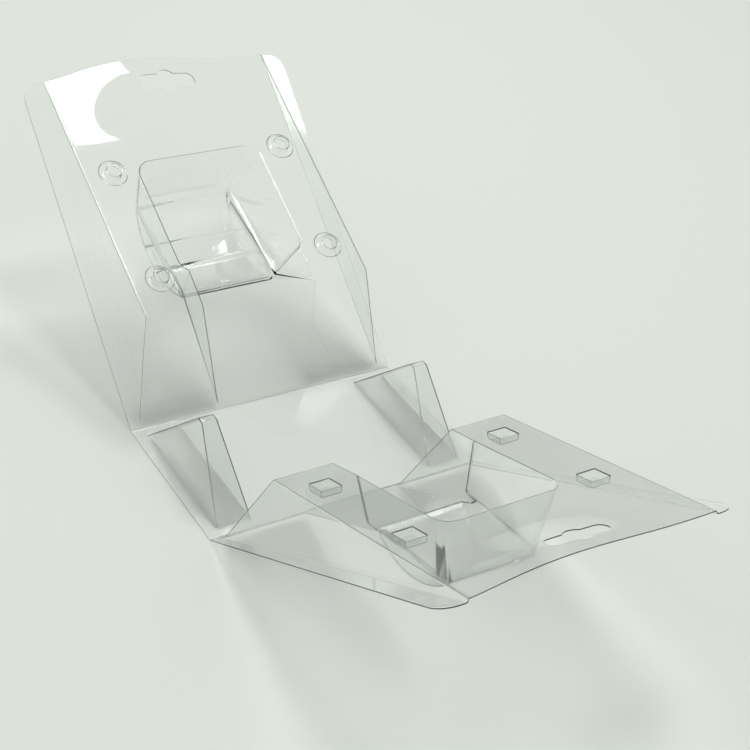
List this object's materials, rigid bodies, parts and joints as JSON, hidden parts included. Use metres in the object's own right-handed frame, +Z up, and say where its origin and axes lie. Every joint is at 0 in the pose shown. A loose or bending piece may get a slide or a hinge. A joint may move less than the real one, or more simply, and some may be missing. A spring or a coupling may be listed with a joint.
{
  "type": "plastic clamshell pack",
  "caption": "Clear thermoformed tri-fold clamshell pack standing open: a base with raised end blocks between two leaning halves with product pockets, snaps and hang slots",
  "frame": {"origin": "middle of the base panel's underside, on the table", "axes": "X along the two living hinges, Y from the front half to the rear half, Z up"},
  "size_m": [0.15, 0.3781, 0.1102],
  "materials": {
    "clear_film": "clear glossy thermoformed film"
  },
  "bodies": {
    "base": {"base_panel": "clear_film"},
    "rear": {"rear_half": "clear_film"},
    "front": {"front_half": "clear_film"}
  },
  "joints": [
    {"name": "rear_fold", "type": "hinge", "parent": "base", "child": "rear", "pos_m": [0, 0.04, 0.0004], "axis": [1, 0, 0], "range_deg": [-22, 65.5]},
    {"name": "front_fold", "type": "hinge", "parent": "base", "child": "front", "pos_m": [0, -0.04, 0.0004], "axis": [-1, 0, 0], "range_deg": [-19, 68.6]}
  ]
}
